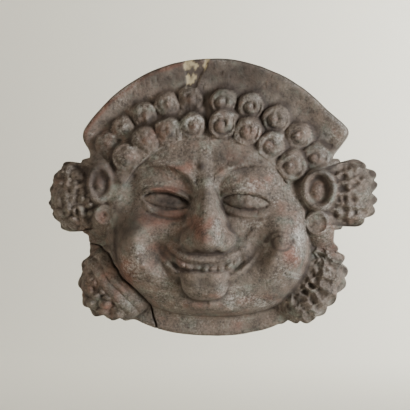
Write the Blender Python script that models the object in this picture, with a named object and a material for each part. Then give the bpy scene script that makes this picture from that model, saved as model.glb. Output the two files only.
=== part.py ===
"""A mask antefix of fired clay: the ornament that closed the eaves end of a cover tile.

The clay was pressed into a mould, so the front is a relief with no undercuts, the side wall is plain,
and the back is flat round a hollow behind the face. Places and depths are in millimetres on the face
of the mask: x to the right and z up from the centre of the crest's arc, and depth forward from the
flat back. The mesh turns them to metres, with the front towards -Y and the origin on the back.
"""

import math

import bmesh
import bpy
import numpy as np

MM = 0.001
NODE = "mask_antefix"

# Where a size has two values, the left one as the viewer sees it comes first.
SIDES = (-1, 1)

# The crest is an arc as wide as the cover tile that it closed, cut off at both ends. Its right tip
# was drawn out a little when the clay left the mould.
CREST_RADIUS = 107.0
CREST_DEPTH = 24.0
CREST_FLARE = 3.0
CREST_END_X = (92.8, 97.4)
CREST_END_Z = (50.0, 54.5)
CREST_END_LEAN = math.radians(38.0)
CREST_CORNER = 3.5
CREST_TIP_ANGLE = math.radians(30.0)
CREST_TIP_SPREAD = 0.13
CREST_TIP_OUT = 4.4
OUTLINE_FILLET = 5.0

# The plate behind the face shows as a rim under the chin.
PLATE_CENTRE_X = -1.4
PLATE_HALF_WIDTH = 87.6
PLATE_HALF_HEIGHT = 87.8
PLATE_POWER = 2.5
PLATE_DEPTH = 20.0
FRONT_EDGE_ROUND = 3.5
BACK_EDGE_ROUND = 1.5

# The flat of the back, and the hollow that the mould's presser left behind the face.
MOUNT_HEIGHT = 72.0
HOLLOW_HALF_WIDTH = 54.0
HOLLOW_HALF_HEIGHT = 46.0
HOLLOW_CENTRE_Z = -14.0
HOLLOW_DEPTH = 26.0
HOLLOW_POWER = 2.5

# The face is one broad dome, wider at the cheeks than at the brow and fuller to the right. Its left
# jaw runs softly into the plate.
FACE_CENTRE_Z = -20.0
FACE_HALF_WIDTH = (68.7, 71.5)
FACE_UP = 88.0
FACE_DOWN = 51.5
FACE_POWER = (2.2, 2.5)
FACE_EDGE_DEPTH = 21.0
FACE_DEPTH = 50.0
FACE_FILLET = 1.5
JAW_FILLET = 10.0
JAW_X = -54.0
JAW_TOP_Z = 0.0
JAW_FOOT_Z = -42.0

# Brow, lids and eyes. The right eye sits a little nearer to the nose.
ORBIT_X = 33.0
ORBIT_Z = 12.0
ORBIT_HALF_WIDTH = 27.0
ORBIT_HALF_HEIGHT = 19.5
BROW_STEP = 2.6
BROW_RIDGE = 2.2
LID_SWELL = 3.0
EYE_X = (-28.4, 25.0)
EYE_Z = 7.0
EYE_HALF_WIDTH = 18.0
EYE_HALF_HEIGHT = 7.0
EYE_SWELL = 3.2
LID_EDGE = 1.3
SOCKET_DEPTH = 8.0
BOSS_X = -4.0
BOSS_Z = 30.0
BOSS_RADIUS = 2.6
BOSS_HEIGHT = 1.6
FURROW_X = -1.0
FURROW_SPREAD = 4.5
FURROW_DEPTH = 0.9
FURROW_FOOT_Z = 27.0
FURROW_TOP_Z = 41.0

# The nose is short and broad, and leans a little to one side.
NOSE_TOP_Z = 26.0
NOSE_TIP_Z = -17.0
NOSE_FOOT_Z = -28.5
NOSE_LEAN = 2.8
NOSE_HEIGHT = 26.4
NOSE_BRIDGE_HEIGHT = 5.0
NOSE_BRIDGE_HALF_WIDTH = 7.0
NOSE_TIP_HALF_WIDTH = 13.0
NOSTRIL_SPREAD = 12.5
NOSTRIL_RADIUS = 6.8

# The grin: a muzzle bounded by the folds of the cheeks, with lips, teeth and tongue inside it.
CHEEK_X = 53.0
CHEEK_Z = -23.0
CHEEK_HALF_WIDTH = 20.0
CHEEK_HALF_HEIGHT = 27.0
CHEEK_SWELL = 15.5
MUZZLE_Z = -36.0
MUZZLE_HALF_WIDTH = 39.0
MUZZLE_HALF_HEIGHT = 19.5
MUZZLE_LIFT = 9.0
MUZZLE_SWELL = 6.0
MUZZLE_SPREAD = 20.0
MUZZLE_DROP = 4.0
FOLD_DEPTH = 2.2
FOLD_SLOPE = 11.0
FOLD_START_X = 9.0
FOLD_FULL_X = 22.0
FOLD_HOLLOW = 2.0
FOLD_HOLLOW_START = 4.0
FOLD_HOLLOW_END = 16.0
MOUTH_Z = -40.5
MOUTH_LIFT = 15.0
MOUTH_HALF_WIDTH = 31.0
LIP_HEIGHT = 3.4
TOOTH_PITCH = 5.4
TOOTH_HEIGHT = 3.2
TEETH_HALF_WIDTH = 21.0
TONGUE_X = -0.6
TONGUE_HALF_WIDTH = 17.0
TONGUE_TIP_Z = -61.5
TONGUE_HEIGHT = 11.5
TONGUE_CREASE = 3.0

CHIN_Z = -63.0
CHIN_HALF_WIDTH = 17.0
CHIN_HALF_HEIGHT = 9.0
CHIN_SWELL = 4.0

# Snail curls in two rows on a sloping band of hair, parted in the middle.
PARTING_X = -2.5
HAIR_CENTRE_Z = -15.0
HAIRLINE_RADIUS = 66.0
HAIR_DEPTH = 42.0
HAIR_SLOPE = 0.53
HAIR_HALF_ANGLE = math.radians(60.0)
UPPER_ROW_RADIUS = 91.8
UPPER_ROW_COUNT = 5
UPPER_ROW_FIRST = math.radians(7.0)
UPPER_ROW_STEP = math.radians(11.3)
LOWER_ROW_RADIUS = 74.5
LOWER_ROW_COUNT = 4
LOWER_ROW_FIRST = math.radians(7.4)
LOWER_ROW_STEP = math.radians(13.9)
CURL_RADIUS = (9.0, 9.8)
CURL_HEIGHT = 9.4
CURL_GROOVE_SHARE = 0.6
CURL_WINDING = 0.3
CURL_GROOVE = 3.0

# Ears and ear discs.
EAR_X = (-75.5, 74.0)
EAR_Z = (20.0, 15.0)
EAR_HALF_WIDTH = (9.8, 13.0)
EAR_HALF_HEIGHT = (14.5, 15.0)
EAR_DEPTH = 37.0
EAR_RIM_HEIGHT = 4.5
DISC_X = (-72.5, 74.0)
DISC_Z = (-2.5, -8.0)
DISC_RADIUS = (7.6, 8.6)
DISC_DEPTH = 40.0

# Four tufts of beaded locks stand out past the plate: an upper and a lower one on each side.
UPPER_TUFT_X = (-91.3, 91.6)
UPPER_TUFT_Z = (10.4, 12.2)
UPPER_TUFT_HALF_WIDTH = (24.4, 23.8)
UPPER_TUFT_HALF_HEIGHT = (26.4, 24.2)
UPPER_TUFT_POWER = (2.4, 3.0)
UPPER_FAN_X = (-52.0, 52.0)
UPPER_FAN_Z = (10.0, 12.0)
LOWER_TUFT_X = (-66.7, 66.8)
LOWER_TUFT_Z = (-50.0, -49.5)
LOWER_TUFT_HALF_LENGTH = (27.6, 31.0)
LOWER_TUFT_HALF_WIDTH = (27.2, 24.0)
LOWER_TUFT_POWER = (2.3, 2.4)
LOWER_TUFT_TURN = (math.radians(0.0), math.radians(52.0))
LOWER_FAN_X = (-40.0, 40.0)
LOWER_FAN_Z = (-28.0, -28.0)
TUFT_DEPTH = 38.0
TUFT_EDGE_DEPTH = 13.0
LOBE_HEIGHT = 1.8
BEAD_ANGLE = math.radians(11.0)
BEAD_PITCH = 8.0
BEAD_HEIGHT = 2.6

# The old break between the left cheek and the lower left tuft, now fitted together again.
BREAK_X = (-80.0, -69.0, -54.0, -45.0, -38.0)
BREAK_Z = (-24.0, -34.0, -52.0, -62.0, -84.0)
BREAK_HALF_WIDTH = 1.0
BREAK_DEPTH = 5.0

# How finely the relief is sampled, and how many triangles the solid keeps: more for the face, the
# ears and the ear discs than for the hair, the wall and the back.
GRID = 150
FACE_SHARE = 0.60
RIM_SHARE = 0.08
RIM_BAND = 2.5
WALL_ROWS = 5
BACK_RINGS = 26
FACE_TRIANGLES = 4400
OTHER_TRIANGLES = 5450
CLAY_COLOUR = (0.17, 0.125, 0.095, 1.0)
CLAY_ROUGHNESS = 0.85


def smooth_max(a, b, blend):
    """The nearer of two surfaces, with the line where they meet filled over a width of blend."""
    share = np.clip(0.5 + 0.5 * (a - b) / blend, 0.0, 1.0)
    return b + (a - b) * share + blend * share * (1.0 - share)


def smooth_min(a, b, blend):
    """The farther of two surfaces, or the union of two outlines, with the meeting line rounded."""
    return -smooth_max(-a, -b, blend)


def fade(value, start, end):
    """0 at start, 1 at end and a smooth S between them."""
    t = np.clip((value - start) / (end - start), 0.0, 1.0)
    return t * t * (3.0 - 2.0 * t)


def swell(distance, width):
    """1 on a line or point and falling to nothing in about two widths, as pressed clay does."""
    return np.exp(-((distance / width) ** 2))


def oval(x, z, half_width, half_height, power=2.0, turn=0.0):
    """How far a place is from the middle of an oval, as a share: 1 on the oval itself."""
    u = (x * math.cos(turn) + z * math.sin(turn)) / half_width
    v = (z * math.cos(turn) - x * math.sin(turn)) / half_height
    return (np.abs(u) ** power + np.abs(v) ** power) ** (1.0 / power)


def dome(share, height, shoulder=2.6, crown=2.2):
    """Height of a dome over an oval share: full at 0, upright at 1 and falling away past it."""
    inside = height * np.maximum(1.0 - share**shoulder, 0.0) ** (1.0 / crown)
    return np.where(share < 1.0, inside, -4.0 * height * (share - 1.0))


def line_distance(x, z, line_x, line_z):
    """Distance to a broken line through a few points."""
    nearest = np.full_like(x, np.inf)
    for x0, z0, x1, z1 in zip(line_x, line_z, line_x[1:], line_z[1:]):
        length2 = (x1 - x0) ** 2 + (z1 - z0) ** 2
        t = np.clip(((x - x0) * (x1 - x0) + (z - z0) * (z1 - z0)) / length2, 0.0, 1.0)
        nearest = np.minimum(nearest, np.hypot(x - x0 - t * (x1 - x0), z - z0 - t * (z1 - z0)))
    return nearest


def crest_edge(x, z):
    """Signed distance to the crest's outline: the tile's arc, cut off by a leaning end each side."""
    tip = CREST_TIP_OUT * swell(np.arctan2(z, x) - CREST_TIP_ANGLE, CREST_TIP_SPREAD)
    edge = np.maximum(np.hypot(x, z) - CREST_RADIUS - tip, -z)
    for side, end_x, end_z in zip(SIDES, CREST_END_X, CREST_END_Z):
        end = (side * x - end_x) * math.cos(CREST_END_LEAN) - (z - end_z) * math.sin(CREST_END_LEAN)
        edge = np.where(side * x > 0.0, smooth_max(edge, end, CREST_CORNER), edge)
    return edge


def plate_edge(x, z):
    share = oval(x - PLATE_CENTRE_X, z, PLATE_HALF_WIDTH, PLATE_HALF_HEIGHT, PLATE_POWER)
    return (share - 1.0) * PLATE_HALF_HEIGHT


def fan(x, z, fan_x, fan_z):
    """Radius and angle of the locks, which fan out from a point under the ear or the cheek."""
    out = (x - fan_x) * math.copysign(1.0, fan_x)
    return np.hypot(out, z - fan_z), np.arctan2(z - fan_z, out)


def lobes(angle):
    """How far the beads at the ends of the locks stand out of a tuft's outline."""
    return LOBE_HEIGHT * (np.abs(np.cos(math.pi * angle / BEAD_ANGLE)) - 0.5)


def upper_tuft_share(x, z, n):
    return oval(x - UPPER_TUFT_X[n], z - UPPER_TUFT_Z[n], UPPER_TUFT_HALF_WIDTH[n],
                UPPER_TUFT_HALF_HEIGHT[n], UPPER_TUFT_POWER[n])


def lower_tuft_share(x, z, n):
    return oval(x - LOWER_TUFT_X[n], z - LOWER_TUFT_Z[n], LOWER_TUFT_HALF_LENGTH[n],
                LOWER_TUFT_HALF_WIDTH[n], LOWER_TUFT_POWER[n], LOWER_TUFT_TURN[n])


def edge_distance(x, z):
    """Signed distance to the outline of the whole antefix, negative inside."""
    edge = smooth_min(crest_edge(x, z), plate_edge(x, z), OUTLINE_FILLET)
    for n in range(len(SIDES)):
        upper = (upper_tuft_share(x, z, n) - 1.0) * UPPER_TUFT_HALF_WIDTH[n]
        upper = upper - lobes(fan(x, z, UPPER_FAN_X[n], UPPER_FAN_Z[n])[1])
        lower = (lower_tuft_share(x, z, n) - 1.0) * LOWER_TUFT_HALF_WIDTH[n]
        lower = lower - lobes(fan(x, z, LOWER_FAN_X[n], LOWER_FAN_Z[n])[1])
        edge = smooth_min(smooth_min(edge, upper, OUTLINE_FILLET), lower, OUTLINE_FILLET)
    return edge


def face_share(x, z):
    """Share of the way to the face's edge, which has a half width of its own on each side."""
    up = (z - FACE_CENTRE_Z) / np.where(z > FACE_CENTRE_Z, FACE_UP, FACE_DOWN)
    left, right = (oval(x, up, half, 1.0, power) for half, power in zip(FACE_HALF_WIDTH, FACE_POWER))
    return np.where(x < 0.0, left, right)


def orbits(x, z):
    """Brow ridge, the crease under it and the swollen lid between brow and eye, on both sides."""
    across = np.abs(x) - ORBIT_X
    inward = (1.0 - oval(across, z - ORBIT_Z, ORBIT_HALF_WIDTH, ORBIT_HALF_HEIGHT)) * ORBIT_HALF_HEIGHT
    above = fade(z, ORBIT_Z - 2.0, ORBIT_Z + 9.0)
    ridge = BROW_RIDGE * swell(inward + 3.0, 3.5) * above
    step = -BROW_STEP * fade(inward, -1.0, 1.2) * above
    lid = LID_SWELL * swell(across, 0.75 * ORBIT_HALF_WIDTH) * swell(z - ORBIT_Z - 9.0, 6.5)
    socket = -SOCKET_DEPTH * swell(np.abs(x) - 12.5, 7.0) * swell(z - 9.0, 13.0)
    return ridge + step + lid * fade(inward, 0.0, 3.0) + socket


def eyes(x, z):
    """Almond eyes: a low ball between two lid edges, with a groove round the ball."""
    across = (x - np.where(x < 0.0, *EYE_X)) / EYE_HALF_WIDTH
    half = EYE_HALF_HEIGHT * np.maximum(1.0 - across**2, 0.0) ** 0.8 + 0.05
    side = (z - EYE_Z) / half
    inward = (1.0 - np.abs(side)) * half
    within = fade(np.abs(across), 0.98, 0.72)
    ball = EYE_SWELL * np.clip(1.0 - across**2 - (0.9 * side) ** 2, 0.0, 1.0) ** 0.6 - 1.8
    ball = np.where(np.abs(side) < 1.0, ball, 0.0) * within
    groove = -1.6 * swell(inward - 0.6, 1.1) * within
    lid = LID_EDGE * swell(inward + 1.5, 1.4) * within
    bag = 1.5 * swell(z - EYE_Z + 12.0 - 3.0 * across**2, 3.2) * fade(np.abs(across), 1.3, 0.6)
    return ball + groove + lid + bag


def nose(x, z):
    """Height of the nose over the face: a ridge that widens to the tip, with a wing each side."""
    down = (NOSE_TOP_Z - z) / (NOSE_TOP_Z - NOSE_TIP_Z)
    along = np.clip(down, 0.0, 1.0)
    axis = NOSE_LEAN * along
    profile = NOSE_BRIDGE_HEIGHT + (NOSE_HEIGHT - NOSE_BRIDGE_HEIGHT) * along**1.5
    profile = profile * fade(down, -0.12, 0.12)
    under = np.clip((NOSE_TIP_Z - z) / (NOSE_TIP_Z - NOSE_FOOT_Z), 0.0, 1.0)
    profile = profile * np.maximum(1.0 - under**2.2, 0.0) ** 0.6
    half_width = NOSE_BRIDGE_HALF_WIDTH + (NOSE_TIP_HALF_WIDTH - NOSE_BRIDGE_HALF_WIDTH) * along**1.6
    ridge = profile * np.exp(-np.abs((x - axis) / half_width) ** 2.4)
    wing_share = oval(np.abs(x - NOSE_LEAN) - NOSTRIL_SPREAD, z - NOSE_TIP_Z + 2.5, NOSTRIL_RADIUS, NOSTRIL_RADIUS)
    wings = dome(wing_share, 0.6 * NOSE_HEIGHT, 2.4, 2.0)
    both = smooth_max(ridge, wings, 2.5)
    holes = 4.0 * swell(np.hypot(np.abs(x - NOSE_LEAN) - 7.0, 1.4 * (z - NOSE_FOOT_Z - 1.5)), 3.2)
    return np.maximum(both, 0.0) - holes


def cheeks_and_folds(x, z):
    cheek = CHEEK_SWELL * np.exp(-oval(np.abs(x) - CHEEK_X, z - CHEEK_Z, CHEEK_HALF_WIDTH,
                                       CHEEK_HALF_HEIGHT, 2.4, math.radians(-12.0)) ** 2.6)
    lifted = z - MUZZLE_Z - MUZZLE_LIFT * (x / MUZZLE_HALF_WIDTH) ** 2
    inward = (1.0 - oval(x, lifted, MUZZLE_HALF_WIDTH, MUZZLE_HALF_HEIGHT)) * MUZZLE_HALF_HEIGHT
    beside = fade(np.abs(x), FOLD_START_X, FOLD_FULL_X)
    fold = -FOLD_DEPTH * swell(inward - 0.5, 2.2) * beside
    hollow = fade(inward, -1.0, FOLD_HOLLOW_START) * fade(inward, FOLD_HOLLOW_END, FOLD_HOLLOW_START)
    hollow = -FOLD_HOLLOW * hollow * beside
    return cheek * fade(inward, 2.0, 2.0 - FOLD_SLOPE) + fold + hollow


def mouth(x, z):
    """Upper lip, a row of teeth under it and the lower lip, all along the line of the grin."""
    bend = np.minimum(np.abs(x) / MOUTH_HALF_WIDTH, 1.25)
    below = MOUTH_Z + MOUTH_LIFT * bend**3 - z
    span = fade(np.abs(x), MOUTH_HALF_WIDTH + 7.0, MOUTH_HALF_WIDTH - 1.0)
    upper = LIP_HEIGHT * swell(below + 5.6, 3.0) * span
    gap = -3.2 * swell(below - 1.6, 1.6) * span
    lower = 2.4 * swell(below - 6.4, 2.8) * span
    tooth = np.abs(np.cos(math.pi * x / TOOTH_PITCH)) ** 0.6
    row = fade(np.abs(x), TEETH_HALF_WIDTH + 1.0, TEETH_HALF_WIDTH - 2.0)
    teeth = TOOTH_HEIGHT * (0.35 + 0.65 * tooth) * swell(below + 0.4, 1.9) * row
    return upper + gap + lower + teeth


def tongue(x, z):
    """Height of the tongue over the chin, a broad flap with a round tip, and the crease round it."""
    root = MOUTH_Z - 1.5
    down = (root - z) / (root - TONGUE_TIP_Z)
    half = TONGUE_HALF_WIDTH * (1.0 - 0.10 * np.clip(down, 0.0, 1.0))
    tip = np.where(down > 0.45, (down - 0.45) / 0.55, 0.0)
    share = (np.abs((x - TONGUE_X) / half) ** 2.6 + tip**2.6) ** (1.0 / 2.6)
    flap = dome(share, TONGUE_HEIGHT, 3.4, 2.0)
    flap = flap - 1.6 * swell(x - TONGUE_X, 5.0) * fade(down, 0.75, 0.2)
    crease = TONGUE_CREASE * swell((share - 1.1) * half, 2.2) * fade(down, 0.0, 0.15)
    return np.where(down < 0.0, -20.0 * np.minimum(-down * 4.0, 1.0) + flap * (down > -0.25), flap), crease


def face(x, z):
    """Depth of the face alone."""
    base = FACE_EDGE_DEPTH + dome(face_share(x, z), FACE_DEPTH - FACE_EDGE_DEPTH, 3.0, 1.67)
    base = base + MUZZLE_SWELL * swell(np.hypot(x / 1.5, z - MUZZLE_Z + MUZZLE_DROP), MUZZLE_SPREAD)
    inner = fade(face_share(x, z), 1.0, 0.9)
    chin = CHIN_SWELL * swell(oval(x, z - CHIN_Z, CHIN_HALF_WIDTH, CHIN_HALF_HEIGHT), 1.0)
    skin = base + inner * (orbits(x, z) + eyes(x, z) + cheeks_and_folds(x, z) + mouth(x, z) + chin)
    skin = smooth_max(skin, base - 2.0 + nose(x, z), 2.0)
    flap, crease = tongue(x, z)
    skin = smooth_max(skin - crease, base + flap, 1.0)
    boss = BOSS_HEIGHT * swell(np.hypot(x - BOSS_X, z - BOSS_Z), BOSS_RADIUS)
    span = fade(z, FURROW_FOOT_Z - 3.0, FURROW_FOOT_Z + 3.0) * fade(z, FURROW_TOP_Z + 5.0, FURROW_TOP_Z - 5.0)
    furrow = -FURROW_DEPTH * swell(np.abs(x - FURROW_X) - FURROW_SPREAD, 1.6) * span
    return skin + inner * (boss + furrow)


def hair_band(x, z):
    """The band under the curls: it slopes back from the hairline to the crest, and is parted."""
    radius = np.hypot(x - PARTING_X, z - HAIR_CENTRE_Z)
    angle = np.abs(np.arctan2(x - PARTING_X, z - HAIR_CENTRE_Z))
    band = HAIR_DEPTH - HAIR_SLOPE * (radius - HAIRLINE_RADIUS)
    band = np.where(radius < HAIRLINE_RADIUS, HAIR_DEPTH - 6.0 * (HAIRLINE_RADIUS - radius), band)
    band = band - 2.0 * swell(x - PARTING_X, 3.0)
    return band - 40.0 * fade(angle, HAIR_HALF_ANGLE, HAIR_HALF_ANGLE + 0.2)


def curl(x, z, side, radius, row_radius, angle):
    """Depth of one snail curl: a low dome with a groove that winds in from its edge."""
    centre_x = PARTING_X + side * row_radius * math.sin(angle)
    centre_z = HAIR_CENTRE_Z + row_radius * math.cos(angle)
    right, up = side * (x - centre_x), z - centre_z
    share = np.hypot(right, up) / radius
    turn = np.arctan2(up, right) / (2.0 * math.pi)
    groove = CURL_GROOVE * swell((share - CURL_GROOVE_SHARE - CURL_WINDING * turn) * radius, 1.5)
    ground = HAIR_DEPTH - HAIR_SLOPE * (row_radius - HAIRLINE_RADIUS) - 1.0
    return ground + dome(share, CURL_HEIGHT, 6.0, 2.2) - groove


def curls(x, z):
    """Every curl of both rows, as the nearest surface of them all."""
    nearest = np.full_like(x, -50.0)
    rows = (
        (UPPER_ROW_COUNT, UPPER_ROW_RADIUS, UPPER_ROW_FIRST, UPPER_ROW_STEP, 0.94),
        (LOWER_ROW_COUNT, LOWER_ROW_RADIUS, LOWER_ROW_FIRST, LOWER_ROW_STEP, 1.04),
    )
    for side, size in zip(SIDES, CURL_RADIUS):
        for count, row_radius, first, step, share in rows:
            for n in range(count):
                one = curl(x, z, side, size * share, row_radius, first + n * step)
                nearest = np.maximum(nearest, one)
    return nearest


def ear(x, z, n):
    """Depth of one ear: a rolled rim round a hollow, with a low swelling inside."""
    share = oval(x - EAR_X[n], z - EAR_Z[n], EAR_HALF_WIDTH[n], EAR_HALF_HEIGHT[n])
    body = EAR_DEPTH + dome(share, 3.0, 4.0, 2.0)
    off_rim = (share - 0.80) * EAR_HALF_WIDTH[n]
    rim = EAR_RIM_HEIGHT * swell(off_rim, 2.2)
    hollow = -3.5 * fade(share, 0.72, 0.45)
    inner = 3.6 * swell(np.hypot(x - EAR_X[n], 0.75 * (z - EAR_Z[n] + 1.5)), 0.36 * EAR_HALF_WIDTH[n])
    return body + rim + hollow + inner


def ear_disc(x, z, n):
    """Depth of one ear disc: a flat round with a raised rim and a small boss."""
    share = np.hypot(x - DISC_X[n], z - DISC_Z[n]) / DISC_RADIUS[n]
    rim = 1.2 * swell((share - 0.86) * DISC_RADIUS[n], 1.0)
    boss = 1.1 * swell(share * DISC_RADIUS[n], 1.4)
    return DISC_DEPTH - 3.0 + dome(share, 3.0, 8.0, 2.0) + rim + boss


def beads(radius, angle):
    """Height of the beads of a tuft: round bumps along each lock, staggered from lock to lock."""
    lock = np.round(angle / BEAD_ANGLE)
    aside = (angle / BEAD_ANGLE - lock) * BEAD_ANGLE * radius
    step = radius / BEAD_PITCH + 0.5 * np.mod(lock, 2.0)
    along = (step - np.round(step)) * BEAD_PITCH
    wide = 0.5 * np.minimum(BEAD_ANGLE * radius, 1.25 * BEAD_PITCH)
    share = np.hypot(aside / wide, along / (0.52 * BEAD_PITCH))
    return BEAD_HEIGHT * np.sqrt(np.maximum(1.0 - share**2, 0.0))


def tuft(share, radius, angle):
    """Depth of one tuft: a pad that falls away to its outline, covered in beads."""
    pad = TUFT_EDGE_DEPTH + (TUFT_DEPTH - TUFT_EDGE_DEPTH) * np.maximum(1.0 - share**3.0, 0.0) ** 0.5
    pad = np.where(share < 1.0, pad, TUFT_EDGE_DEPTH)
    reach = fade(share, 1.25, 1.0)
    return np.where(share < 1.25, pad - 2.0 + beads(radius, angle) * reach, 0.0)


def relief(x, z):
    """Depth of the front at every place, from the flat back."""
    inside = -edge_distance(x, z)
    plate = np.full_like(x, PLATE_DEPTH)
    crest = CREST_DEPTH + CREST_FLARE * fade(np.hypot(x, z), 0.88 * CREST_RADIUS, CREST_RADIUS)
    plate = smooth_max(plate, crest - 8.0 * fade(crest_edge(x, z), -1.0, 4.0), 2.0)
    edge = np.clip(FRONT_EDGE_ROUND - inside, 0.0, FRONT_EDGE_ROUND)
    plate = plate - (FRONT_EDGE_ROUND - np.sqrt(FRONT_EDGE_ROUND**2 - edge**2))
    depth = plate
    for n in range(len(SIDES)):
        upper = tuft(upper_tuft_share(x, z, n), *fan(x, z, UPPER_FAN_X[n], UPPER_FAN_Z[n]))
        lower = tuft(lower_tuft_share(x, z, n), *fan(x, z, LOWER_FAN_X[n], LOWER_FAN_Z[n]))
        depth = smooth_max(depth, np.maximum(upper, lower), 2.0)
    depth = smooth_max(depth, hair_band(x, z), 3.0)
    jaw = fade(x, JAW_X + 6.0, JAW_X - 6.0) * fade(z, JAW_TOP_Z + 7.0, JAW_TOP_Z - 7.0)
    jaw = JAW_FILLET * jaw * fade(z, JAW_FOOT_Z - 9.0, JAW_FOOT_Z + 9.0)
    depth = smooth_max(depth, face(x, z), FACE_FILLET + jaw)
    for n in range(len(SIDES)):
        depth = smooth_max(depth, ear(x, z, n), 1.0)
        depth = smooth_max(depth, ear_disc(x, z, n), 0.6)
    depth = smooth_max(depth, curls(x, z), 0.8)
    broken = line_distance(x, z, BREAK_X, BREAK_Z)
    return depth - BREAK_DEPTH * swell(broken, BREAK_HALF_WIDTH)


def hollow_depth(x, z):
    """How far the back is hollowed at every place: nothing on the flat, most behind the nose."""
    share = oval(x, z - HOLLOW_CENTRE_Z, HOLLOW_HALF_WIDTH, HOLLOW_HALF_HEIGHT, HOLLOW_POWER)
    return HOLLOW_DEPTH * np.maximum(1.0 - share**2.2, 0.0) ** 0.75


def face_rim(x, z):
    """Negative inside the line where the face meets the hair above and the plate below."""
    hairline = np.hypot(x - PARTING_X, z - HAIR_CENTRE_Z) - HAIRLINE_RADIUS
    return np.maximum(hairline, (face_share(x, z) - 1.0) * FACE_HALF_WIDTH[0])


def radius_of(edge, angle):
    """Radius of an outline in each direction from the centre, found by halving the interval."""
    far = np.linspace(0.3, 1.3, 201)[:, None] * CREST_RADIUS * np.ones_like(angle)
    inside = edge(far * np.cos(angle), far * np.sin(angle)) < 0.0
    last = len(far) - 1 - np.argmax(inside[::-1], axis=0)
    near, out = far[last, np.arange(len(angle))], far[last + 1, np.arange(len(angle))]
    for _ in range(20):
        middle = 0.5 * (near + out)
        within = edge(middle * np.cos(angle), middle * np.sin(angle)) < 0.0
        near, out = np.where(within, middle, near), np.where(within, out, middle)
    return near


def square_to_disc(a, b):
    """Radius share and angle on a disc for a place on a square, ring for ring."""
    wide = np.abs(a) >= np.abs(b)
    with np.errstate(divide="ignore", invalid="ignore"):
        angle = np.where(wide, math.pi / 4 * b / a, math.pi / 2 - math.pi / 4 * a / b)
    share = np.where(wide, a, b)
    angle = np.where(share == 0.0, 0.0, angle)
    return np.abs(share), angle + np.where(share < 0.0, math.pi, 0.0)


def edge_loop(size):
    """Numbers of the grid's border points, in order round it."""
    number = np.arange(size * size).reshape(size, size)
    return np.concatenate([number[0, :-1], number[:-1, -1], number[-1, :0:-1], number[:0:-1, 0]])


def quads_between(first, second):
    """Quads that join two closed rows of points with as many points each."""
    return np.stack([first, np.roll(first, -1), np.roll(second, -1), second], axis=1)


def antefix_mesh():
    """Points in millimetres and faces of the closed solid: front grid, side wall and back."""
    size = GRID + 1
    a, b = np.meshgrid(np.linspace(-1.0, 1.0, size), np.linspace(-1.0, 1.0, size))
    share, angle = square_to_disc(a.ravel(), b.ravel())
    rim = edge_loop(size)
    every = np.linspace(0.0, 2 * math.pi, 2881)
    radius = np.interp(np.mod(angle, 2 * math.pi), every, radius_of(edge_distance, every))
    face = np.interp(np.mod(angle, 2 * math.pi), every, radius_of(face_rim, every))
    within = share / FACE_SHARE * (face - RIM_BAND)
    across = face - RIM_BAND + 2.0 * RIM_BAND * (share - FACE_SHARE) / RIM_SHARE
    past = (share - FACE_SHARE - RIM_SHARE) / (1.0 - FACE_SHARE - RIM_SHARE)
    beyond = face + RIM_BAND + (radius - face - RIM_BAND) * past
    reach = np.where(share < FACE_SHARE, within, np.where(past < 0.0, across, beyond))
    x, z = reach * np.cos(angle), reach * np.sin(angle)
    points = [np.stack([x, relief(x, z), z], axis=1)]
    number = np.arange(size * size).reshape(size, size)
    faces = [np.stack([number[:-1, :-1], number[:-1, 1:], number[1:, 1:], number[1:, :-1]], axis=2).reshape(-1, 4)]
    row, count = rim, size * size
    way = np.stack([np.cos(angle[rim]), np.sin(angle[rim])], axis=1)
    edge_radius, edge_depth = radius[rim], relief(x[rim], z[rim])
    for n in range(1, WALL_ROWS + 1):
        depth = edge_depth + (BACK_EDGE_ROUND - edge_depth) * n / WALL_ROWS
        points.append(np.stack([edge_radius * way[:, 0], depth, edge_radius * way[:, 1]], axis=1))
        new = count + np.arange(len(rim))
        faces.append(quads_between(row, new)[:, ::-1])
        row, count = new, count + len(rim)
    for n in range(BACK_RINGS):
        ring = (edge_radius - BACK_EDGE_ROUND) * (1.0 - n / BACK_RINGS)
        ring_x, ring_z = ring * way[:, 0], ring * way[:, 1] + HOLLOW_CENTRE_Z * n / BACK_RINGS
        points.append(np.stack([ring_x, hollow_depth(ring_x, ring_z), ring_z], axis=1))
        new = count + np.arange(len(rim))
        faces.append(quads_between(row, new)[:, ::-1])
        row, count = new, count + len(rim)
    points.append(np.array([[0.0, HOLLOW_DEPTH, HOLLOW_CENTRE_Z]]))
    fan_faces = [(int(p), int(q), count) for p, q in zip(np.roll(row, -1), row)]
    return np.concatenate(points), np.concatenate(faces), fan_faces


def clay_material():
    material = bpy.data.materials.new("fired clay")
    material.use_nodes = True
    shader = material.node_tree.nodes["Principled BSDF"]
    shader.inputs["Base Color"].default_value = CLAY_COLOUR
    shader.inputs["Roughness"].default_value = CLAY_ROUGHNESS
    shader.inputs["Metallic"].default_value = 0.0
    return material


def on_face(points):
    """True for the points of the front grid that lie on the face, on an ear or on an ear disc."""
    x, z = points[:, 0], points[:, 2]
    fine = face_rim(x, z) < RIM_BAND
    for n in range(len(SIDES)):
        fine = fine | (oval(x - EAR_X[n], z - EAR_Z[n], EAR_HALF_WIDTH[n], EAR_HALF_HEIGHT[n]) < 1.1)
        fine = fine | (np.hypot(x - DISC_X[n], z - DISC_Z[n]) < DISC_RADIUS[n] + 1.0)
    return fine & (np.arange(len(points)) < (GRID + 1) ** 2)


def keep_fewer(antefix, name, numbers, ratio):
    """A Decimate modifier that thins only the faces round the points with these numbers."""
    group = antefix.vertex_groups.new(name=name)
    group.add(numbers.tolist(), 1.0, "REPLACE")
    fewer = antefix.modifiers.new("fewer on the " + name, "DECIMATE")
    fewer.ratio = min(1.0, ratio)
    fewer.vertex_group = name


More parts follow.
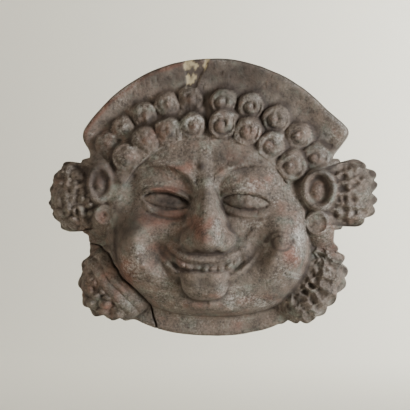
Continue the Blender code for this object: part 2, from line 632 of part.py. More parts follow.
def build_antefix():
    points, quads, triangles = antefix_mesh()
    fine = on_face(points)
    placed = np.stack([points[:, 0], -points[:, 1], points[:, 2] - MOUNT_HEIGHT], axis=1) * MM
    mesh = bpy.data.meshes.new(NODE)
    mesh.from_pydata(placed.tolist(), [], quads.tolist() + triangles)
    work = bmesh.new()
    work.from_mesh(mesh)
    bmesh.ops.recalc_face_normals(work, faces=work.faces)
    bmesh.ops.triangulate(work, faces=work.faces)
    work.to_mesh(mesh)
    total = len(work.faces)
    face_total = sum(all(fine[v.index] for v in f.verts) for f in work.faces)
    work.free()
    mesh.shade_smooth()
    mesh.materials.append(clay_material())
    antefix = bpy.data.objects.new(NODE, mesh)
    bpy.context.scene.collection.objects.link(antefix)
    thinned = face_total + OTHER_TRIANGLES
    keep_fewer(antefix, "hair, wall and back", np.flatnonzero(~fine), thinned / total)
    keep_fewer(antefix, "face", np.flatnonzero(fine), (FACE_TRIANGLES + OTHER_TRIANGLES) / thinned)
    return antefix


for thing in list(bpy.data.objects):
    bpy.data.objects.remove(thing)
build_antefix()
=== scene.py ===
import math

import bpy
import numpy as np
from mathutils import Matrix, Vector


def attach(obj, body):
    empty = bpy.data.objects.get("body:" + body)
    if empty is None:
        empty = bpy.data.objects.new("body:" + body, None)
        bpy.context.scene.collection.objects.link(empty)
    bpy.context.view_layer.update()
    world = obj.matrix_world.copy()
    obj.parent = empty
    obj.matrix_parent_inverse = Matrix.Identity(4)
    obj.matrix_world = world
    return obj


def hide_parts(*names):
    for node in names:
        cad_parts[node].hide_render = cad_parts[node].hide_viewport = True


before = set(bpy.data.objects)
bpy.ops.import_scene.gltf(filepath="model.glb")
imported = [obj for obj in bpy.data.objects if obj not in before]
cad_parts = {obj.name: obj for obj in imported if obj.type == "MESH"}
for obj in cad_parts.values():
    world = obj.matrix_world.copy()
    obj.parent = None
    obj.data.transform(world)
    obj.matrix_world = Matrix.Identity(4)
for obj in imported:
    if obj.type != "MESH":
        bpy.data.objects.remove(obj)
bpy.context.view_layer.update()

# %% [markdown]
# # A gorgon mask antefix
# An antefix closes the open end of a cover tile at the eaves of a roof. This one is a grinning gorgon
# mask with snail curls, an arched crest and four beaded tufts of hair, made by pressing clay into a
# mould and firing it. Such a relief has no undercuts, so each point of the front is given by one
# number, its depth in front of the flat back. The lesson is how to build a face in such a height field
# from a few dozen hills, ridges and grooves that are added up.

MM = 0.001

# %% [markdown]
# All places are in millimetres on the face of the mask: x to the right, z up from the centre of the
# crest's arc, and depth forward from the flat back. Only the last step turns them to metres. A few
# small functions shape everything. Modifiers or sculpted strokes would do too, but a line of
# arithmetic can be read, measured and changed.

# %% Small functions that shape clay
def fade(value, start, end):
    """0 at start, 1 at end, and the S-curve 3t^2 - 2t^3 of the share t between them."""
    t = np.clip((value - start) / (end - start), 0.0, 1.0)
    return t * t * (3 - 2 * t)


def swell(distance, width):
    """A soft ridge: e to the minus (distance / width) squared, so 1 on the line and near 0 at two widths."""
    return np.exp(-((distance / width) ** 2))


def smooth_max(a, b, blend):
    """The nearer of two surfaces, with the corner where they meet filled by a parabola of that width."""
    share = np.clip(0.5 + 0.5 * (a - b) / blend, 0.0, 1.0)
    return b + (a - b) * share + blend * share * (1 - share)


def oval(x, z, half_width, half_height, power=2.0, turn=0.0):
    """Share of the way from the middle of an oval to its edge: (|u|^p + |v|^p)^(1/p), 1 on the edge."""
    u = (x * math.cos(turn) + z * math.sin(turn)) / half_width
    v = (z * math.cos(turn) - x * math.sin(turn)) / half_height
    return (np.abs(u) ** power + np.abs(v) ** power) ** (1 / power)


def dome(share, height, shoulder, crown):
    """Height times (1 - share^shoulder)^(1/crown) inside an oval, and falling away steeply outside it."""
    inside = height * np.maximum(1 - share**shoulder, 0) ** (1 / crown)
    return np.where(share < 1, inside, -4 * height * (share - 1))


def line_distance(x, z, points):
    """Distance to a broken line: the least of the distances to its straight pieces."""
    nearest = np.full_like(x, np.inf)
    for (x0, z0), (x1, z1) in zip(points, points[1:]):
        length2 = (x1 - x0) ** 2 + (z1 - z0) ** 2
        t = np.clip(((x - x0) * (x1 - x0) + (z - z0) * (z1 - z0)) / length2, 0.0, 1.0)
        nearest = np.minimum(nearest, np.hypot(x - x0 - t * (x1 - x0), z - z0 - t * (z1 - z0)))
    return nearest


print("at half its width a swell keeps", round(float(swell(0.5, 1.0)), 2), "of its height")

# %% [markdown]
# Pressed and weathered clay is never quite even. Lattice noise gives that: random numbers sit on the
# corners of a square grid and are blended inside each square. Sums of it at several sizes roughen the
# surface, wander the crack and scatter the stains. Fixed seeds make every run the same.

# %% Unevenness
def unevenness(x, z, size, seed):
    """Lattice noise from -1 to 1: four corner values of a square of that size, blended by S-curves."""
    table = np.random.default_rng(seed).uniform(-1, 1, (64, 64))
    i, j = np.floor(x / size).astype(int), np.floor(z / size).astype(int)
    u, v = fade(x / size - i, 0, 1), fade(z / size - j, 0, 1)
    low = table[i % 64, j % 64] * (1 - u) + table[(i + 1) % 64, j % 64] * u
    high = table[i % 64, (j + 1) % 64] * (1 - u) + table[(i + 1) % 64, (j + 1) % 64] * u
    return low * (1 - v) + high * v


def layered(x, z, size, seed, layers=3):
    """Sum of layers of unevenness, each half as large and half as strong as the one before it."""
    return sum(unevenness(x, z, size / 2**n, seed + n) / 2**n for n in range(layers))


# %% [markdown]
# ## The outline
# From the front the antefix is an arch over a rounded plate, with two tufts on each side. Each shape
# gives a signed distance, negative inside, and the least of them is the whole. The right end of the
# crest keeps a sharper corner than the left, and no two tufts are alike.

# %% Crest, plate and tufts
CREST_RADIUS = 107.0
# side, distance from the middle, height of the corner, and width of the rounding that softens it
CREST_ENDS = ((-1.0, 92.6, 50.0, 8.0), (1.0, 97.2, 54.5, 3.5))
CREST_END_LEAN = math.radians(38.0)
PLATE_CENTRE_X = -1.4
PLATE_HALF = (87.6, 87.8)
# centre x and z, half length and width, squareness, turn, x and z from which the locks fan out,
# degrees from lock to lock, distance from bead to bead and height of the beads or cords
TUFTS = {
    "upper left": (-91.3, 10.4, 24, 26.2, 2.4, -4, -44, 10, 8.4, 5.2, 1.7),
    "upper right": (91.6, 12.2, 22.8, 23.8, 2.8, 0, 44, 12, 8.2, 5.6, 1.8),
    "lower left": (-66.7, -50, 27.4, 27, 2.3, 0, -48, -24, 12, 6.4, 1.8),
    "lower right": (66.8, -49.5, 30.8, 23.6, 2.4, 52, 40, -28, 10.6, 6, 1.8),
}


def tuft_share(x, z, tuft):
    """Share of the way from a tuft's centre to its outline, 1 on it."""
    mid_x, mid_z, length, width, power, turn = tuft[:6]
    return oval(x - mid_x, z - mid_z, length, width, power, math.radians(turn))


def fan(x, z, tuft):
    """Radius and angle, in degrees, of a place in the fan of locks that a tuft is."""
    fan_x, fan_z = tuft[6:8]
    out = (x - fan_x) * math.copysign(1, fan_x)
    return np.hypot(out, z - fan_z), np.degrees(np.arctan2(z - fan_z, out))


def crest_edge(x, z):
    """Signed distance to the arch: a circle drawn out at the right, cut by a leaning line at each end."""
    tip = 4.4 * swell(np.arctan2(z, x) - math.radians(30), 0.13)
    edge = np.maximum(np.hypot(x, z) - CREST_RADIUS - tip, -z)
    for side, end_x, end_z, rounding in CREST_ENDS:
        end = (side * x - end_x) * math.cos(CREST_END_LEAN) - (z - end_z) * math.sin(CREST_END_LEAN)
        edge = np.where(side * x > 0, smooth_max(edge, end, rounding), edge)
    return edge


def edge_distance(x, z):
    """Signed distance to the whole outline: the least of those of arch, plate and tufts. Half waves of a
    sine, one for each lock, scallop the tufts."""
    plate = (oval(x - PLATE_CENTRE_X, z, *PLATE_HALF, 2.5) - 1) * PLATE_HALF[1]
    edge = -smooth_max(-crest_edge(x, z), -plate, 5)
    for tuft in TUFTS.values():
        angle = fan(x, z, tuft)[1]
        wave = np.abs(np.sin(math.pi * angle / tuft[8] + 0.8 * unevenness(x, z, 16, 12)))
        knobs = np.where(x < -90, 3.6, 2.9) * (wave - 0.6)
        lump = 1.4 * unevenness(x, z, 7, 11)
        tuft_edge = (tuft_share(x, z, tuft) - 1) * tuft[3] - knobs + lump
        edge = -smooth_max(-edge, -tuft_edge, 5)
    return edge + 0.6 + 0.25 * layered(x, z, 14, 21)


def radius_of(edge, angle):
    """Radius of an outline in each direction, by halving the stretch that holds it twenty times."""
    far = np.linspace(0.3, 1.3, 201)[:, None] * CREST_RADIUS * np.ones_like(angle)
    inside = edge(far * np.cos(angle), far * np.sin(angle)) < 0
    last = len(far) - 1 - np.argmax(inside[::-1], axis=0)
    near, out = far[last, np.arange(len(angle))], far[last + 1, np.arange(len(angle))]
    for _ in range(20):
        middle = 0.5 * (near + out)
        within = edge(middle * np.cos(angle), middle * np.sin(angle)) < 0
        near, out = np.where(within, middle, near), np.where(within, out, middle)
    return near


every_way = np.linspace(0, 2 * math.pi, 4321)
outline = radius_of(edge_distance, every_way)
wide, tall = outline * np.cos(every_way), outline * np.sin(every_way)
print("outline:", round(np.ptp(wide), 1), "mm wide and", round(np.ptp(tall), 1), "mm high")

# %% [markdown]
# ## The face
# The ground of the face is one broad dome, egg-shaped from the front. Cheeks, muzzle and chin are
# added to it as soft hills. A hill is a Gaussian of an oval share: raising the share to a power above
# two gives it the flat top and firm flank that a pressed cheek has.

# %% Face, cheeks and chin
FACE_CENTRE_Z = -20.0
FACE_EDGE_DEPTH = 21.0
FACE_DEPTH = 50.0
FACE_ABOVE, FACE_BELOW, FACE_LEFT, FACE_RIGHT = 88.0, 53.2, 68.8, 71.6
MUZZLE_X, MUZZLE_HALF_HEIGHT = -1.6, 19.5
# centre x and z, height, half width and firmness of the flank
CHEEKS = ((-52, -27, 15, 24, 2.6), (56, -22.5, 15, 19.5, 2.6))


def face_share(x, z):
    """Share of the way to the face's edge: an egg, taller above its centre and fuller to the right."""
    above = z > FACE_CENTRE_Z
    up = (z - FACE_CENTRE_Z) / np.where(above, FACE_ABOVE, FACE_BELOW)
    right = oval(x, up, FACE_RIGHT, 1, np.where(above, 2.65, 2.5))
    return np.where(x > 0, right, oval(x, up, FACE_LEFT, 1, 2.4))


def face_ground(x, z):
    """The egg's dome plus a low swelling of the muzzle."""
    ground = FACE_EDGE_DEPTH + dome(face_share(x, z), FACE_DEPTH - FACE_EDGE_DEPTH, 3, 1.67)
    return ground + 6 * swell(np.hypot(x / 1.5, z + 40), 20)


def muzzle_inward(x, z):
    """Distance inside the loop of the laughing folds, which rises at both corners of the mouth."""
    across = x - MUZZLE_X
    lifted = z + 35.5 - 10 * (across / 38) ** 2
    half_width = np.where(across > 0, 37, 32)
    return (1 - oval(across, lifted, half_width, MUZZLE_HALF_HEIGHT)) * MUZZLE_HALF_HEIGHT


def cheeks(x, z):
    """A firm hill on each side, cut off by the fold, with the fold's groove, the hollow inside it and a
    finer groove 6.5 mm in. The right side is softer."""
    hills = 0
    soft = np.where(x > 0, 0.6, 1)
    for mid_x, mid_z, height, width, firm in CHEEKS:
        turn = math.radians(-12 if mid_x > 0 else 12)
        hills = hills + height * np.exp(-oval(x - mid_x, z - mid_z, width, 27, 2.4, turn) ** firm)
    inward = muzzle_inward(x, z)
    beside = fade(np.abs(x), 9, 20)
    fold = -1.6 * soft * swell(inward - 1, 2.4) * beside
    hollow = -1.2 * soft * fade(inward, -2, 4) * fade(inward, 15, 4) * beside
    second = -1.5 * swell(inward - 6.5, 1.3) * beside * fade(z, -46, -36)
    return hills * fade(inward, 3, np.where(x > 0, -9, -10)) + fold + hollow + second


def chin(x, z):
    """A low roll under the tongue, with a crease between it and the lower lip's corners."""
    roll = 7 * swell(np.hypot((x + 2) / 3, z + 66), 6.5)
    return roll - swell(z + 59.5 - 0.012 * x**2, 2) * fade(np.abs(x), 34, 18)


# %% [markdown]
# ## Brows, lids and eyes
# The brow is a sharp ridge with a crease under it that drops to the root of the nose. Under it the
# lid swells like a cushion, and the almond of the eye lies between two curved lid edges. Each edge is
# a bow, a little fuller than a parabola, and a lid is a ridge at a constant height above or below it.

# %% Eyes
# centre x and z, half width, rise of the upper edge, drop of the lower one, tilt, crispness of the lids
EYES = ((-28.6, 7.1, 16.8, 5.2, 5.1, -0.16, 0.9), (25.8, 6.6, 17, 4.6, 5.2, -0.09, 0.36))
# centre x and z of the socket's oval, half width and height, squareness, turn, sharpness of the brow,
# and how far the lid's cushion lies to the right of the centre
BROWS = ((-35, 10.5, 25.5, 20, 2.1, -0.03, 1.1, -3),
         (33, 11, 27, 19.5, 2.5, 0, 0.75, -7))


def eye(x, z, mid_x, mid_z, half, rise, drop, tilt, crisp):
    """Ball between two bows, rise or drop times (1 - along^2)^0.75, with a lid past each bow, a line
    between lid and ball, a fold above and a bag below."""
    along = (x - mid_x) / half
    level = z - mid_z - tilt * (x - mid_x)
    bow = np.maximum(1 - along**2, 0) ** 0.75
    upper, lower = rise * bow, -drop * bow
    middle, gap = 0.5 * (upper + lower), 0.5 * (upper - lower) + 0.4
    across = np.clip((level - middle) / gap, -1, 1)
    within = fade(np.abs(along), 1.04, 0.86)
    sunk = 1.4 + 2.8 * crisp * fade(across, -1, 0.5)
    grain = 0.45 * layered(x, z, 3.4, 33, 2)
    ball = (3.6 * np.sqrt(1 - across**2) * bow**0.5 - sunk + grain) * (np.abs(across) < 1)
    line = -1.8 * crisp * swell(level - upper + 0.1, 1.1) - 0.6 * swell(level - lower, 1.2)
    lids = 3.4 * crisp**0.5 * swell(level - upper - 2.6, 1.9)
    lids = lids + 1.6 * crisp * swell(level - lower + 2.1, 1.5)
    fold = -0.6 * swell(level - upper - 5.2, 1) * fade(np.abs(along), 0.95, 0.6)
    bag = 1.2 * swell(level - lower + 4.6, 1.5) - 0.9 * swell(level - lower + 6.9, 1.1)
    return (ball + line + lids) * within + fold + bag * fade(np.abs(along), 1.15, 0.6)


def brow(x, z, mid_x, mid_z, half_width, half_height, power, turn, sharp, cushion_x):
    """Ridge outside the socket's oval, a step down into it, and the cushion of the lid inside."""
    across = x - mid_x
    inward = (1 - oval(across, z - mid_z, half_width, half_height, power, turn)) * half_height
    above = fade(z, mid_z - 1, mid_z + 6) * fade(x, 56, 34) * fade(x, -62, -52)
    ridge = 2.6 * sharp * swell(inward + 1.9, 2.2) * above
    step = -2.4 * sharp * fade(inward, -0.6, 0.9) * above * fade(x, -58, -38) * fade(x, 44, 22)
    cushion = 5.2 * swell(across - cushion_x, 15) * swell(z - mid_z - 7, 7)
    return ridge + step + cushion * fade(inward, 0, 3.5)


def sockets(x, z):
    """The deep corners between eye and nose, and a shallow hollow at each temple."""
    corner = -1.5 * swell(x + 12.8, 6.5) - 6.5 * swell(x - 9.5, 9)
    sunken = 2.5 * swell(np.hypot(np.abs(x) - 62, (z - 14) / 1.6), 9)
    return corner * swell(z - 6, 13) - sunken


# %% [markdown]
# ## Nose
# The nose is short and broad, with a bulbous tip and round wings, and it leans a little to one side.
# It is a ridge whose height and width both grow towards the tip. The wings are two small domes. Beside
# the nose its height drops below the face, so that it doesn't fill up the eye sockets.

# %% Nose
def nose(x, z):
    """Profile down the ridge times a flat-topped Gaussian across it, with domed tip and wings."""
    down = (26 - z) / 41.5
    along = np.clip(down, 0, 1)
    axis = -0.8 + 2.6 * along
    profile = (6.5 + 18.7 * along**1.35) * fade(down, -0.12, 0.12)
    under = np.clip((-17.5 - z) / 11, 0, 1)
    profile = profile * np.maximum(1 - under**2.4, 0) ** 0.55
    half = 6.1 + 6.4 * along**2.2
    half = half + np.where(x > axis, -1.6 * fade(along, 0.75, 0.4), 2.2 * fade(along, 0.2, 0.6))
    ridge = profile * np.exp(-np.abs((x - axis) / half) ** np.where(x > axis, 3.2, 2.1))
    tip = dome(oval(x - 1.2, z + 15.4, 14, 12.2), 22.8, 2.2, 2)
    both = smooth_max(ridge, tip, 4)
    for side in (-1, 1):
        wing = oval(x - 0.6 - 11.2 * side, z + 19.4, 7.6, 7.2)
        both = smooth_max(both, dome(wing, 14, 2.4, 2), 2.2)
        crease = swell(wing - 1.25, 0.22) * fade(z, -27.5, -19.5) * fade(side * (x - 0.3), 8, 14)
        both = both - (1.9 if side > 0 else 1.2) * crease
    holes = 5 * swell(np.hypot(np.abs(x - 1) - 6.4, 1.5 * (z + 26.8)), 2.8)
    return both - 9 * fade(both, 4, 0) * fade(z, 27, 16) - holes


# %% [markdown]
# ## The grin
# Upper lip, teeth and tongue follow one line, a flat curve that lifts at the corners. Each tooth is a
# half wave of a cosine along that line, worn unevenly. The tongue is a broad flap with a round tip
# and a shallow channel down its middle.

# %% Mouth and tongue
def lips_and_teeth(x, z):
    """Ridges at set distances below the grin's line, -40.7 + 14 |x/31|^2.6, plus a row of teeth on it."""
    bend = np.minimum(np.abs(x) / 31, 1.2)
    below = -40.7 + 14 * bend**2.6 - z
    span = fade(np.abs(x), 38, 28)
    upper = 3.2 * swell(below + 7.6, 3) * fade(np.abs(x), 35, 20)
    upper = upper + swell(below + 12.4, 2.2) * span
    wave = 0.7 * np.sin(x / 1.9) * swell(below + 4, 3) * fade(-x, 16, 24) * span
    gap = -2.2 * (swell(below - 1.9, 1.1) + 0.6 * swell(below + 4.2, 1.3)) * fade(np.abs(x), 31, 17)
    lower = 3 * swell(below - 6.4, 2.3) * fade(np.abs(x), 38, 26)
    tooth = np.abs(np.cos(math.pi * (x + 1) / 5.4)) ** 0.5
    worn = 0.75 + 0.35 * unevenness(x, z * 0, 5.4, 31)
    teeth = 3.8 * worn * (0.15 + 0.85 * tooth) * swell(below + 1.4, 2) * fade(np.abs(x), 23, 19)
    return upper + wave + gap + lower + teeth


def tongue(x, z):
    """Flat-topped dome from under the teeth to z -62, dished down its middle, and the crease round it."""
    down = (-41.8 - z) / 20.2
    half = 16.6 * (1 - 0.1 * np.clip(down, 0, 1))
    tip = np.where(down > 0.4, (down - 0.4) / 0.6, 0)
    share = (np.abs((x + 1.8) / half) ** 2.2 + tip**2.2) ** (1 / 2.2)
    flap = dome(share, 10.5, 2.8, 1.7) - 1.8 * swell(x + 1.8, 6) * fade(down, 0.9, 0.2)
    crease = np.where(x > 0, 0.5, 1.5) * swell((share - 1.1) * half, 2) * fade(down, 0, 0.15)
    return np.where(down < 0, flap - 160 * np.minimum(-down, 0.5), flap), crease


def face(x, z):
    """Depth of the whole face: its ground with every hill and groove added, then nose and tongue joined."""
    ground = face_ground(x, z)
    inner = fade(face_share(x, z), 1, 0.9)
    skin = cheeks(x, z) + chin(x, z) + lips_and_teeth(x, z) + sockets(x, z)
    for values in EYES:
        skin = skin + eye(x, z, *values)
    for values in BROWS:
        skin = skin + brow(x, z, *values)
    furrows = -0.8 * swell(x + 7.5, 1.8) - 0.7 * swell(x - 3.5, 2)
    boss = 2.3 * swell(np.hypot(x + 4.2, z - 30.1), 2.6)
    skin = skin + furrows * fade(z, 26, 32) * fade(z, 48, 36)
    skin = ground + inner * (skin + boss)
    skin = smooth_max(skin, ground - 2 + nose(x, z), np.where(x > 0, 2, 5))
    flap, crease = tongue(x, z)
    return smooth_max(skin - crease, ground + flap, 1.2)


nose_tip = float(face(np.array([3.0]), np.array([-14.0]))[0])
print("the nose stands", round(nose_tip, 1), "mm in front of the back")

# %% [markdown]
# ## Snail curls
# Two rows of snail curls frame the forehead, parted in the middle and wound in mirrored ways. One curl
# is a low drum with a spiral groove. In polar coordinates an Archimedean spiral is a straight line: the
# radius grows by the same step with each turn. So a sine of pi times radius over step minus turn makes
# round whorls. Wear takes the groove away, most of all on the left.

# %% Curls
PARTING_X = -2.5
HAIR_CENTRE_Z = -15.0
HAIRLINE_RADIUS = 66.0
HAIR_DEPTH, HAIR_SLOPE = 41.0, 0.53
WHORL_STEP = 0.58
# side, radius of the row, first angle and step in degrees, how many, radius of the first curl and its
# growth, wear
ROWS = (
    (-1, 92.4, 7.2, 10.6, 5, 8.6, 0.05, 0.55),
    (-1, 74.8, 6.9, 13.2, 4, 9.4, 0.1, 0.35),
    (1, 92, 7.2, 12, 5, 9.2, 0.1, 0.1),
    (1, 74.8, 8.6, 14.4, 4, 9.9, 0.1, 0.05),
)


def hair_band(x, z):
    """The bed of the curls: a cone that slopes from the hairline to the crest and ends at the temples."""
    radius = np.hypot(x - PARTING_X, z - HAIR_CENTRE_Z)
    angle = np.degrees(np.abs(np.arctan2(x - PARTING_X, z - HAIR_CENTRE_Z)))
    bed = HAIR_DEPTH - HAIR_SLOPE * (radius - HAIRLINE_RADIUS)
    bed = np.where(radius < HAIRLINE_RADIUS, HAIR_DEPTH - 6 * (HAIRLINE_RADIUS - radius), bed)
    bed = bed - 2.5 * swell(x - PARTING_X, 3) + 0.8 * layered(x, z, 7, 41)
    return bed - 40 * fade(angle, 58, 70)


def one_curl(x, z, side, mid_x, mid_z, radius, ground, worn, opening):
    """Drum with whorls, |sin| of pi times (share / step - turn), worn towards a plain knob."""
    right, up = side * (x - mid_x), z - mid_z
    share = np.hypot(right, up) / (radius * (1.05 + 0.1 * unevenness(x, z, 6, 55)))
    turn = np.arctan2(up, right) / (2 * math.pi) + opening
    whorl = np.abs(np.sin(math.pi * (share / WHORL_STEP - turn + 0.07 * unevenness(x, z, 4.5, 57))))
    groove = 3 * (1 - worn) * (1 - whorl) ** 1.1 * fade(share, 0.1, 0.26)
    rim = 1.1 * (1 - worn) * swell(share - 0.86, 0.09)
    knob = 1.8 * swell(np.hypot(right + 1.6, up - 0.8) / radius, 0.36)
    drum = dome(share, 8.6 - 4.2 * worn, 4.6 - 2 * worn, 1.9)
    return ground + drum + rim + knob - groove + (0.3 + 0.9 * worn) * layered(x, z, 4, 51)


def curl_places():
    """Side, centre, radius, depth of the ground, wear and opening of each curl of the half rows."""
    chance = np.random.default_rng(7)
    for side, row_radius, first, step, count, radius, growth, worn in ROWS:
        for n in range(count):
            angle = math.radians(first + n * step + chance.uniform(-0.5, 0.5))
            far = row_radius + chance.uniform(-1, 1)
            mid_x = PARTING_X + side * far * math.sin(angle)
            mid_z = HAIR_CENTRE_Z + far * math.cos(angle)
            size = radius + growth * n + chance.uniform(-0.4, 0.4)
            ground = 40.6 - HAIR_SLOPE * (far - HAIRLINE_RADIUS) + chance.uniform(-0.8, 0.8)
            opening = 0.35 - 0.6 * angle / (2 * math.pi) + chance.uniform(-0.08, 0.08)
            rubbed = worn + 0.07 * n + chance.uniform(-0.05, 0.2)
            yield side, mid_x, mid_z, size, ground, rubbed, opening


CURLS = list(curl_places())


def curls(x, z):
    """Every curl as the nearest surface of them all."""
    nearest = np.full_like(x, -50)
    for values in CURLS:
        nearest = smooth_max(nearest, one_curl(x, z, *values), 1.2)
    return nearest


# %% [markdown]
# ## Ears and ear discs
# Each ear is a rolled rim round a hollow with a swelling inside, and under it hangs a round ear disc
# with a raised edge. The right ear is a nearly closed ring, and the left one is worn and opens inward.
# A soft pad at each temple fills the step between the dome of the face and the ear.

# %% Ears and discs
# centre x and z, half width and height, width of the rim, how far the rim opens, inner swelling
EARS = ((-75.8, 19, 9.6, 14.6, 2.3, 0.8, 3.4), (75.5, 14.5, 12.6, 15.2, 2, 0.15, 4.4))
# centre x and z, radius, rim height, middle: below 0 a dimple, above 0 a boss
DISCS = ((-72.8, -2.6, 7.6, 1, -2), (74, -8.2, 8.7, 1.7, 1.1))
# centre x and z, half width and height, and depth of the pads that join the face to the ears
TEMPLES = ((-60.5, -2, 12.5, 34, 42), (66.5, 8, 12, 26, 34.5))
EAR_DEPTH, DISC_DEPTH, TEMPLE_RISE = 36.5, 37.0, 10.0


def ear(x, z, mid_x, mid_z, half_width, half_height, rim_width, opens, inner):
    """A pad, plus a ridge at 0.82 of the oval, minus a hollow inside it, plus a round swelling."""
    u, v = x - mid_x, z - mid_z
    share = oval(u, v, half_width, half_height)
    inward = fade(-math.copysign(1, mid_x) * u / half_width, 0.1, 0.8) * fade(v, 8, -2)
    worn = 0.6 if mid_x < 0 else 1
    rim = 3.6 * worn * swell((share - 0.82) * half_width, rim_width) * (1 - opens * inward)
    hollow = -3 * worn * fade(share, 0.72, 0.5)
    bulge = inner * swell(np.hypot(u + 0.1 * half_width, 0.7 * (v + 1)), 0.34 * half_width)
    return EAR_DEPTH + dome(share, 3, 4, 2) + rim + hollow + bulge


def temple(x, z, mid_x, mid_z, half_width, half_height, top):
    """A pad that rises by 10 mm to its top as a flat dome."""
    share = oval(x - mid_x, z - mid_z, half_width, half_height)
    return top - TEMPLE_RISE + dome(share, TEMPLE_RISE, 3, 1.6)


def ear_disc(x, z, mid_x, mid_z, radius, rim, middle):
    """A flat drum with a ridge just inside its edge and a boss or a dimple in its middle."""
    out = np.hypot(x - mid_x, z - mid_z)
    flat = DISC_DEPTH + dome(out / radius, 3, 8, 2)
    return flat + rim * swell(out - 0.84 * radius, 0.9) + middle * swell(out, 1.7)


# %% [markdown]
# ## Beaded tufts
# The hair beside the face hangs in beaded locks. Each tuft is a pad that falls away to its outline, and
# its locks fan out from one point: the angle gives the lock, and the radius the way along it. Beads in
# straight rows would look machined, so one point is scattered into each square of a grid along the
# fan. On the left a bump sits on each point. On the right the beads are worn to thin cords, which run
# where a place is about as near to two points.

# %% Tufts
PAD_EDGE_DEPTH, PAD_RISE, PAD_REACH = 13.0, 25.0, 1.25
# the old crack, from under the left ear disc to the lower edge, because the locks beside it follow it
CRACK = ((-88, -22), (-80.2, -24.6), (-71.6, -29.7), (-66.3, -38.8), (-61, -46.3), (-54.1, -52.3),
         (-47.3, -59.8), (-43.5, -66.6), (-40.5, -75.6), (-38.3, -90))


def scattered(x, z, pitch, seed):
    """Distances to the nearest and second nearest of points scattered one to each square of the pitch."""
    place = np.random.default_rng(seed).uniform(0.12, 0.88, (2, 64, 64))
    i, j = np.floor(x / pitch).astype(int), np.floor(z / pitch).astype(int)
    nearest, second = np.full_like(x, np.inf), np.full_like(x, np.inf)
    for right in (-1, 0, 1):
        for up in (-1, 0, 1):
            u, v = i + right, j + up
            off_x, off_z = place[:, u % 64, v % 64]
            far = np.hypot((u + off_x) * pitch - x, (v + off_z) * pitch - z)
            second = np.minimum(second, np.maximum(nearest, far))
            nearest = np.minimum(nearest, far)
    return nearest, second


def net(x, z, tuft):
    """Left: a bump on each scattered point. Right: cords where two points are about as near. A cosine of
    the angle, one wave for each lock, is added to both, and noise makes them uneven."""
    radius, angle = fan(x, z, tuft)
    pitch, height = tuft[9:11]
    along = 0.85 * radius + 1.2 * unevenness(x, z, 7, 61)
    aside = 40 * np.radians(angle) + 1.2 * unevenness(x, z, 7, 62)
    nearest, second = scattered(along, aside, pitch, 63)
    beads = 1.6 * swell(nearest, 0.42 * pitch) - 0.5 * swell(second - nearest, 0.16 * pitch) - 0.5
    locks = 0.5 * np.cos(2 * math.pi * angle / tuft[8])
    cords = 0.8 * swell(second - nearest, 0.22 * pitch) + 1.1 * nearest / pitch - 0.7
    shape = np.where(x > 0, cords, beads)
    uneven = 1 + 0.45 * unevenness(x, z, 10, 67)
    return height * (shape + locks) * uneven + 1.1 * layered(x, z, 2.8, 64)


def strands(x, z, lumps):
    """Locks beside the crack: |cos|^0.6 of pi (distance - 4) / 8, giving way to the net past 14 mm."""
    away = line_distance(x, z, CRACK) + 0.8 * unevenness(x, z, 12, 65)
    smooth = 2.6 * np.abs(np.cos(math.pi * (away - 4) / 8)) ** 0.6 + 0.8 * layered(x, z, 4, 66)
    return smooth + (lumps - smooth) * fade(away, 14, 19)


def tuft_depth(x, z, tuft):
    """Pad: 13 mm at the outline, rising to 38 mm as (1 - share^3)^(1/2), plus the net of locks. It lies
    lower beside the chin on the right, and has no locks where the face covers it."""
    share = tuft_share(x, z, tuft)
    pad = PAD_EDGE_DEPTH + PAD_RISE * np.sqrt(np.maximum(1 - share**3, 0))
    beside_face = fade(face_share(x, z), 1.3, 1.02) * fade(z, -20, -36) * fade(x, 40, 50)
    bumps = net(x, z, tuft)
    if tuft is TUFTS["lower left"]:
        bumps = strands(x, z, bumps)
    bumps = bumps * fade(share, PAD_REACH, 1) * fade(face_share(x, z), 0.97, 1.04)
    return np.where(share < PAD_REACH, pad - 1.6 - 6 * beside_face + bumps, 0)


# %% [markdown]
# ## Damage
# The lower left tuft and a piece of the plate broke off long ago and were set back, so a dark crack
# runs from under the left ear disc to the lower edge. A break at the top of the crest was filled with
# plaster. Both are cut into the relief, and a few scratches are given by their two ends.

# %% Crack, filled break, scratches and wear
SCRATCHES = (((-42, 4.6), (-37, 1)), ((-37.8, -0.6), (-32.8, -2.4)), ((-54.5, 15), (-48.5, 10.8)),
             ((-66, -0.6), (-55.5, -0.2)), ((51, -43), (63.5, -47)), ((56, -41), (64, -44.5)))


def crack_distance(x, z):
    """Distance to the crack from a place that noise has moved by up to 0.6 mm."""
    return line_distance(x + 0.6 * unevenness(x, z, 5, 71), z + 0.6 * unevenness(x, z, 5, 72), CRACK)


def filled_break(x, z):
    """1 on the plaster of the mended break in the crest and 0 off it."""
    middle = -9.5 - 0.25 * (105 - z) + 1.6 * unevenness(x, z, 6, 81)
    half = 9 - 0.28 * (105 - z)
    return fade(np.abs(x - middle), half + 0.8, half - 0.8) * fade(z, 84, 86)


def in_hair(x, z, last):
    """1 over the curls, which end in the 6 mm before the last radius, and 0 off them."""
    far = np.hypot(x - PARTING_X, z - HAIR_CENTRE_Z)
    return fade(far, 64, 68) * fade(far, last, last - 6) * fade(z, 8, 24)


def wear(x, z):
    """Unevenness of the pressed clay from 11 mm down, rougher in the hair, with pits of dropped grit."""
    waves = 0.45 * layered(x, z, 11, 91, 4)
    waves = waves + 0.3 * in_hair(x, z, 101) * layered(x, z, 3.2, 97, 2)
    pits = -0.5 * fade(unevenness(x, z, 1.9, 95), 0.62, 0.9)
    return waves + pits


# %% [markdown]
# ## The front, all together
# The parts of the relief meet as the nearest surface: wherever two of them overlap, the one that
# stands further forward shows, with a small fillet at the line between them.

# %% The relief
PLATE_DEPTH, CREST_DEPTH, EDGE_ROUND = 20.0, 24.0, 3.5


